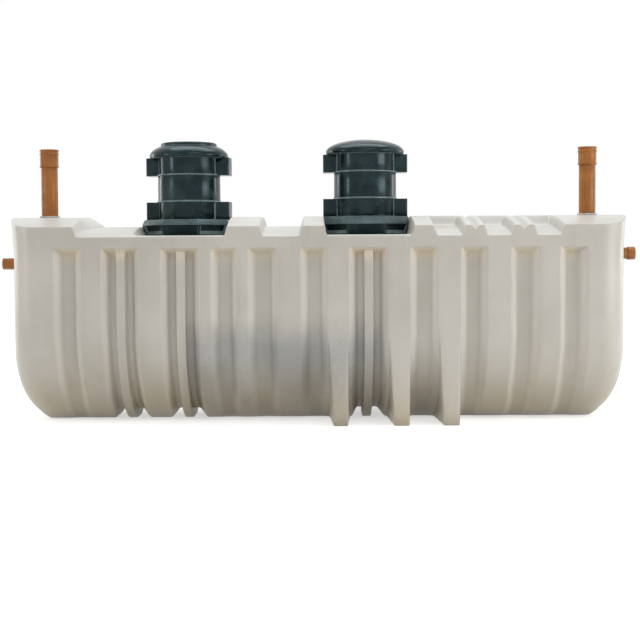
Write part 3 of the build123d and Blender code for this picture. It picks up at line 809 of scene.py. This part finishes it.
def round_edges(piece, paint, radius, angle, segments=3):
    """Rounds the edges of a piece and marks the rounded faces, so that a highlight can be painted there."""
    for _ in edge_highlight:
        piece.data.materials.append(paint)
    edges = piece.modifiers.new("edges", "BEVEL")
    edges.width = radius
    edges.segments = segments
    edges.limit_method = "ANGLE"
    edges.angle_limit = radians(angle)
    edges.material = 1
    finished_mesh(piece, piece.name)
    rounded = [edge_highlight[face.material_index] for face in piece.data.polygons]
    piece.data.attributes.new("edge", "FLOAT", "FACE").data.foreach_set("value", rounded)
    piece.data.polygons.foreach_set("material_index", [0] * len(rounded))
    piece.data.materials.pop()
    piece.data.materials.pop()


def rounded_copy(node, paint, radius, angle, segments=3, highlight_face=None):
    """A copy of a node, its triangles joined and its edges rounded; the last argument picks other faces for
    a painted highlight.
    """
    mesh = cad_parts[node].data.copy()
    mesh.materials.clear()
    joined = bmesh.new()
    joined.from_mesh(mesh)
    bmesh.ops.remove_doubles(joined, verts=joined.verts, dist=0.00005)
    bmesh.ops.dissolve_limit(joined, angle_limit=radians(0.8), verts=joined.verts, edges=joined.edges)
    joined.normal_update()
    for face in joined.faces:
        face.material_index = int(bool(highlight_face and highlight_face(face.calc_center_median(), face.normal)))
    joined.to_mesh(mesh)
    joined.free()
    piece = add_piece(mesh, node + "_skin")
    round_edges(piece, paint, radius, angle, segments)
    return piece


for node in ("outlet_joint_band", "inlet_joint_band"):
    piece = rounded_copy(node, tank_paint, radius=0.009, angle=24)
    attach(piece, "root")
    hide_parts(node)


# Access turrets.
# Dark green polyethylene with a gloss: an octagonal plate that sits on the roof, two necks with lugs,
# a plain barrel between them and a lid, all turned or moulded and welded up.
deep_green = (0.0012, 0.0060, 0.0068)
dull_green = (0.0030, 0.0105, 0.0120)
scuffed_green = (0.020, 0.040, 0.043)
highlight_green = (0.22, 0.30, 0.31)
gloss_tint = (0.70, 0.96, 1.0, 1)
turret_paint, tree, shader = new_material("green_polyethylene", roughness=0.2)
place = tree.nodes.new("ShaderNodeTexCoord").outputs["Object"]
mottle = soft_step(tree, cloud(tree, place, 5.0, 4.0), 0.3, 0.7)
colour = blend_colours(tree, mottle, deep_green, dull_green)
scuffed = place_effect(tree, scuffs, Place=place, Scale=6.0, Amount=0.6)["Mask"]
colour = blend_colours(tree, scuffed, colour, scuffed_green)

# Painted highlight: a paler green along every rounded edge and on the other marked faces
edge = tree.nodes.new("ShaderNodeAttribute")
edge.attribute_name = "edge"
painted_highlight = maths(tree, "ADD", maths(tree, "MULTIPLY", cloud(tree, place, 11.0, 3.0), 0.9), 0.25)
painted_highlight = maths(tree, "MULTIPLY", edge.outputs["Fac"], painted_highlight)
colour = blend_colours(tree, painted_highlight, colour, highlight_green)
tree.links.new(colour, shader.inputs["Base Color"])
tree.links.new(maths(tree, "ADD", maths(tree, "MULTIPLY", scuffed, 0.3), 0.17), shader.inputs["Roughness"])
shader.inputs["Specular IOR Level"].default_value = 0.30
shader.inputs["Specular Tint"].default_value = gloss_tint
add_grain(tree, shader, place, peel=0.12, wave=1.0, depth=0.003)

turrets = {"outlet": (outlet_joint_x, outlet_turn), "inlet": (inlet_joint_x, 0.0)}

# Plates: eight facets that flare to a rim and a sloping shoulder, with a pocket in each diagonal facet
plate_foot = 0.388
plate_half = 0.427
plate_edge_z = 1.843
plate_shoulder = 0.402
throat = 0.296
pocket_mouth = (0.07, 0.93, 0.17, 0.95)
pocket_floor = (0.12, 0.88, 0.40, 0.93)
pocket_sink = 0.018
facets = 8
half_facet = 22.5


def plate_corner(centre_x, turn, half, index, z):
    """A corner of a plate's outline, counted round from the plate's own long axis."""
    angle = turn + radians(half_facet * (1 + 2 * index))
    reach = half / cos(radians(half_facet))
    return Vector((centre_x + reach * cos(angle), reach * sin(angle), z))


def facet_frame(plate, corners, shares, sink):
    """Four points of a facet, by the shares of its width and height between them, sunk below it."""
    low_a, low_b, high_a, high_b = corners
    left, right, low, high = shares
    inward = (high_a - low_a).cross(low_b - low_a).normalized()
    points = []
    for across, up in ((left, low), (right, low), (right, high), (left, high)):
        place = low_a.lerp(low_b, across).lerp(high_a.lerp(high_b, across), up)
        points.append(plate.verts.new(place + inward * sink))
    return points


for side_name, (centre_x, turn) in turrets.items():
    node = side_name + "_turret_plate"
    foot_z, shoulder_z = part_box(node)[0][2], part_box(node)[1][2]
    rings = [(plate_foot, foot_z), (plate_half, plate_edge_z)]
    rings += [(plate_shoulder, shoulder_z), (throat, shoulder_z)]
    plate = bmesh.new()
    for index in range(facets):
        pairs = [[plate_corner(centre_x, turn, half, corner, z) for corner in (index, index + 1)]
                 for half, z in rings]
        (low_a, low_b), (high_a, high_b) = pairs[0], pairs[1]
        for ring, ((a, b), (c, d)) in enumerate(zip(pairs[1:], pairs[2:])):
            face = plate.faces.new([plate.verts.new(place) for place in (a, b, d, c)])
            # The sloping shoulder is marked for a fainter painted highlight
            face.material_index = 0 if ring else 2
        if index % 2:
            plate.faces.new([plate.verts.new(place) for place in (low_a, low_b, high_b, high_a)])
            continue
        corners = (low_a, low_b, high_a, high_b)
        frames = [facet_frame(plate, corners, shares, sink) for shares, sink in
                  (((0, 1, 0, 1), 0.0), (pocket_mouth, 0.0), (pocket_floor, pocket_sink))]
        for outer, inner in zip(frames, frames[1:]):
            for a, b, c, d in zip(outer, outer[1:] + outer[:1], inner[1:] + inner[:1], inner):
                face = plate.faces.new((a, b, c, d))
                # A pocket's bottom and side walls are marked for a painted highlight, its top wall is not
                face.material_index = int(outer is frames[1] and b is not outer[3])
        plate.faces.new(frames[2])
    bmesh.ops.remove_doubles(plate, verts=plate.verts, dist=0.0001)
    bmesh.ops.recalc_face_normals(plate, faces=plate.faces)
    mesh = bpy.data.meshes.new(node + "_skin")
    plate.to_mesh(mesh)
    plate.free()
    piece = add_piece(mesh, node + "_skin")
    thickness = piece.modifiers.new("wall", "SOLIDIFY")
    thickness.thickness = wall
    thickness.offset = -1
    round_edges(piece, turret_paint, radius=0.006, angle=25)
    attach(piece, "root")
    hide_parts(node)

# Necks, barrels and hatch; the beads of the necks and the strips beside their lugs get a painted highlight
neck_r = 0.291
neck_inside = 0.006
neck_outside = 0.003
bead_height = 0.012
bead_reach = 0.030
lug_half_width = 0.090
highlight_strip = 0.024
hair = 0.001
turret_edges = {"lower_neck": 0.011, "barrel": 0.004, "upper_neck": 0.011, "hatch": 0.012}


def neck_highlights(centre_x, turn, bead_z):
    """A test for the faces that get a painted highlight: the bead round a neck and a strip beside each lug.
    """
    def highlight_face(place, normal):
        across, along = place.x - centre_x, place.y
        off_lug = abs(along * cos(turn) - across * sin(turn)) - lug_half_width
        r = sqrt(across**2 + along**2)
        on_bead = bead_z - hair < place.z < bead_z + bead_height + hair and r < neck_r + bead_reach
        faces_out = normal.x * across + normal.y * along > 0 and abs(normal.z) < 0.5
        by_lug = r < neck_r + neck_outside and off_lug < highlight_strip
        return faces_out and r > neck_r - neck_inside and (on_bead or by_lug)
    return highlight_face


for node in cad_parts:
    side_name, kind = node.split("_", 1)
    if kind not in turret_edges:
        continue
    centre_x, turn = turrets[side_name]
    low_z, high_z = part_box(node)[0][2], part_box(node)[1][2]
    bead_z = high_z - bead_height if kind == "lower_neck" else low_z
    marks = neck_highlights(centre_x, turn, bead_z) if kind.endswith("neck") else None
    piece = rounded_copy(node, turret_paint, radius=turret_edges[kind], angle=30, highlight_face=marks)
    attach(piece, "root")
    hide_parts(node)

# Lids: a low dome with a rolled rim, and a thin wall that follows it back inside
lid_steps = 96
dome_steps = 18
lid_wall = 0.012
lip = 0.012
rim_roll = ((0.004, 0.015), (0.012, 0.025), (0.024, 0.025), (0.027, 0.006))
slack = 0.004    # the dome ends this far inside the solid's rim
lids = {    # centre, height of the rim, rise of the dome, radius of the flat that carries the hatch
    "outlet_lid": (outlet_joint_x, 2.504, 0.138, 0.277),
    "inlet_lid": (inlet_joint_x, 2.536, 0.121, 0.0),
}
for node, (centre_x, rim_z, rise, land_r) in lids.items():
    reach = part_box(node)[1][0] - centre_x - slack
    profile = []
    for step in range(dome_steps + 1):
        angle = pi / 2 * step / dome_steps
        r = reach * sin(angle)
        if r > land_r:
            profile.append((r, rim_z + rise * cos(angle)))
    land_z = rim_z + rise * sqrt(1 - (land_r / reach) ** 2)
    profile = [(0.0, land_z), (land_r, land_z)][: 2 if land_r else 1] + profile
    profile += [(reach - inset, rim_z - drop) for inset, drop in rim_roll]
    inner = reach - lid_wall - lip
    for step in range(dome_steps, -1, -1):
        angle = pi / 2 * step / dome_steps
        profile.append((inner * sin(angle), rim_z + (rise - lid_wall) * cos(angle)))
    turned = bmesh.new()
    rings = []
    for step in range(lid_steps):
        angle = 2 * pi * step / lid_steps
        rings.append([turned.verts.new((centre_x + r * cos(angle), r * sin(angle), z)) for r, z in profile])
    for ring, following in zip(rings, rings[1:] + rings[:1]):
        for corners in zip(ring, ring[1:], following[1:], following):
            turned.faces.new(corners)
    bmesh.ops.remove_doubles(turned, verts=turned.verts, dist=0.00005)
    bmesh.ops.recalc_face_normals(turned, faces=turned.faces)
    mesh = bpy.data.meshes.new(node + "_skin")
    turned.to_mesh(mesh)
    turned.free()
    piece = add_piece(mesh, node + "_skin")
    round_edges(piece, turret_paint, radius=0.003, angle=40, segments=2)
    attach(piece, "root")
    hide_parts(node)


# Drain and vent pipes.
# Extruded drain pipe in terracotta: two uprights through the roof and a stub at either end. Sockets are
# pressed over the tops of the uprights and over the inlet's stub.
terracotta = (0.325, 0.112, 0.017)
faded_terracotta = (0.370, 0.134, 0.024)
scuffed_terracotta = (0.230, 0.090, 0.024)
pipe_paint, tree, shader = new_material("terracotta_pipe", roughness=0.34)
place = tree.nodes.new("ShaderNodeTexCoord").outputs["Object"]
mottle = soft_step(tree, cloud(tree, place, 7.0, 4.0), 0.35, 0.7)
colour = blend_colours(tree, mottle, terracotta, faded_terracotta)
scuffed = place_effect(tree, scuffs, Place=place, Scale=9.0, Amount=0.7)["Mask"]
colour = blend_colours(tree, scuffed, colour, scuffed_terracotta)
shader.inputs["Specular IOR Level"].default_value = 0.3
tree.links.new(colour, shader.inputs["Base Color"])
tree.links.new(maths(tree, "ADD", maths(tree, "MULTIPLY", scuffed, 0.2), 0.30), shader.inputs["Roughness"])
add_grain(tree, shader, place, peel=0.1, wave=0.3, depth=0.002)
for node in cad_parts:
    if not node.endswith(("pipe", "socket")):
        continue
    piece = rounded_copy(node, pipe_paint, radius=0.0012, angle=30, segments=2)
    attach(piece, "root")
    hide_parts(node)


# Pipe seals.
# Pale collars of moulded rubber, a little dusty, round the feet of the uprights. They are pushed into
# holes in the roof and grip the pipe.
pale_rubber = (0.50, 0.49, 0.47)
dust = (0.38, 0.36, 0.32)
rubber, tree, shader = new_material("seal_rubber", roughness=0.55)
place = tree.nodes.new("ShaderNodeTexCoord").outputs["Object"]
dusty = place_effect(tree, scuffs, Place=place, Scale=12.0, Amount=0.8)["Mask"]
tree.links.new(blend_colours(tree, dusty, pale_rubber, dust), shader.inputs["Base Color"])
tree.links.new(maths(tree, "ADD", maths(tree, "MULTIPLY", dusty, 0.3), 0.5), shader.inputs["Roughness"])
for node in ("outlet_vent_seal", "inlet_vent_seal"):
    piece = rounded_copy(node, rubber, radius=0.003, angle=30)
    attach(piece, "root")
    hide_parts(node)


# Floor.
# A plain pale studio floor that keeps the object's shadow. It is lit a little more for the camera than
# for the object, so that it shows white.
bpy.ops.mesh.primitive_plane_add(size=160)
floor = bpy.context.object
floor.name = "floor"
floor_paint, tree, shader = new_material("floor_paint", roughness=0.9)
shader.inputs["Specular IOR Level"].default_value = 0.1
shader.inputs["Emission Color"].default_value = (1, 1, 1, 1)


def seen_by_camera(tree):
    """1 for what the camera sees, straight or by way of a gloss or a clear piece."""
    ray = tree.nodes.new("ShaderNodeLightPath")
    seen = maths(tree, "MAXIMUM", ray.outputs["Is Camera Ray"], ray.outputs["Is Glossy Ray"])
    return maths(tree, "MAXIMUM", seen, ray.outputs["Is Transmission Ray"])


seen = seen_by_camera(tree)
floor_tone = blend_colours(tree, seen, (0.74, 0.71, 0.65), (0.90, 0.90, 0.90))
tree.links.new(floor_tone, shader.inputs["Base Color"])
tree.links.new(maths(tree, "MULTIPLY", seen, 0.55), shader.inputs["Emission Strength"])
floor.data.materials.append(floor_paint)


# Studio.
# Even white surroundings, dimmer for the object than for the camera, and large soft lamps in front,
# above, at both sides and behind.
world = bpy.data.worlds.new("studio")
bpy.context.scene.world = world
world.use_nodes = True
tree = world.node_tree
tree.nodes.clear()
sky = tree.nodes.new("ShaderNodeBackground")
tree.links.new(sky.outputs["Background"], tree.nodes.new("ShaderNodeOutputWorld").inputs["Surface"])
room_level = 0.57
shown_white = maths(tree, "MULTIPLY", seen_by_camera(tree), 1 - room_level)
tree.links.new(maths(tree, "ADD", shown_white, room_level), sky.inputs["Strength"])
sky.inputs["Color"].default_value = (1, 1, 1, 1)


def softbox(name, place, turn, size, power, colour=(1, 1, 1)):
    """A large rectangular lamp."""
    lamp = bpy.data.lights.new(name, "AREA")
    lamp.color = colour
    lamp.shape = "RECTANGLE"
    lamp.size, lamp.size_y = size
    lamp.energy = power
    holder = bpy.data.objects.new(name, lamp)
    holder.location = place
    holder.rotation_euler = [radians(angle) for angle in turn]
    bpy.context.scene.collection.objects.link(holder)


# Where each lamp hangs, how it is turned in degrees, its width and height, its power and its colour
softbox("right", (9, -4.4, 2.5), (84, 0, 64), (4.6, 2.6), 215)
softbox("front", (2.5, -9, 8), (52, 0, 15), (6, 3), 135)
softbox("top", (0, 1, 9), (0, 0, 0), (9, 5), 510, (0.90, 0.96, 1.0))
softbox("left", (-9, -4, 2.5), (84, 0, -66), (1.4, 3), 85)
softbox("back_right", (8.5, 5, 3), (80, 0, 120), (1.8, 4), 75)
softbox("back_left", (-8.5, 5, 3), (80, 0, -120), (1.8, 4), 95)


# Camera.
# It stands at the photograph's viewing angle and looks down a little. Its focal length is given in pixels
# of a picture that is 640 pixels wide.
focal_pixels = 1340
picture_pixels = 640
stand = (0.008, -13.0, 1.54)
look_down = 2.73
roll = 0.33
camera_data = bpy.data.cameras.new("camera")
camera_data.lens = camera_data.sensor_width * focal_pixels / picture_pixels
camera_data.clip_end = 300
camera = bpy.data.objects.new("camera", camera_data)
bpy.context.scene.collection.objects.link(camera)
camera.matrix_world = (
    Matrix.Translation(stand)
    @ Matrix.Rotation(radians(90 - look_down), 4, "X")
    @ Matrix.Rotation(radians(-roll), 4, "Z")
)
bpy.context.scene.camera = camera
bpy.context.scene.view_settings.view_transform = "Standard"
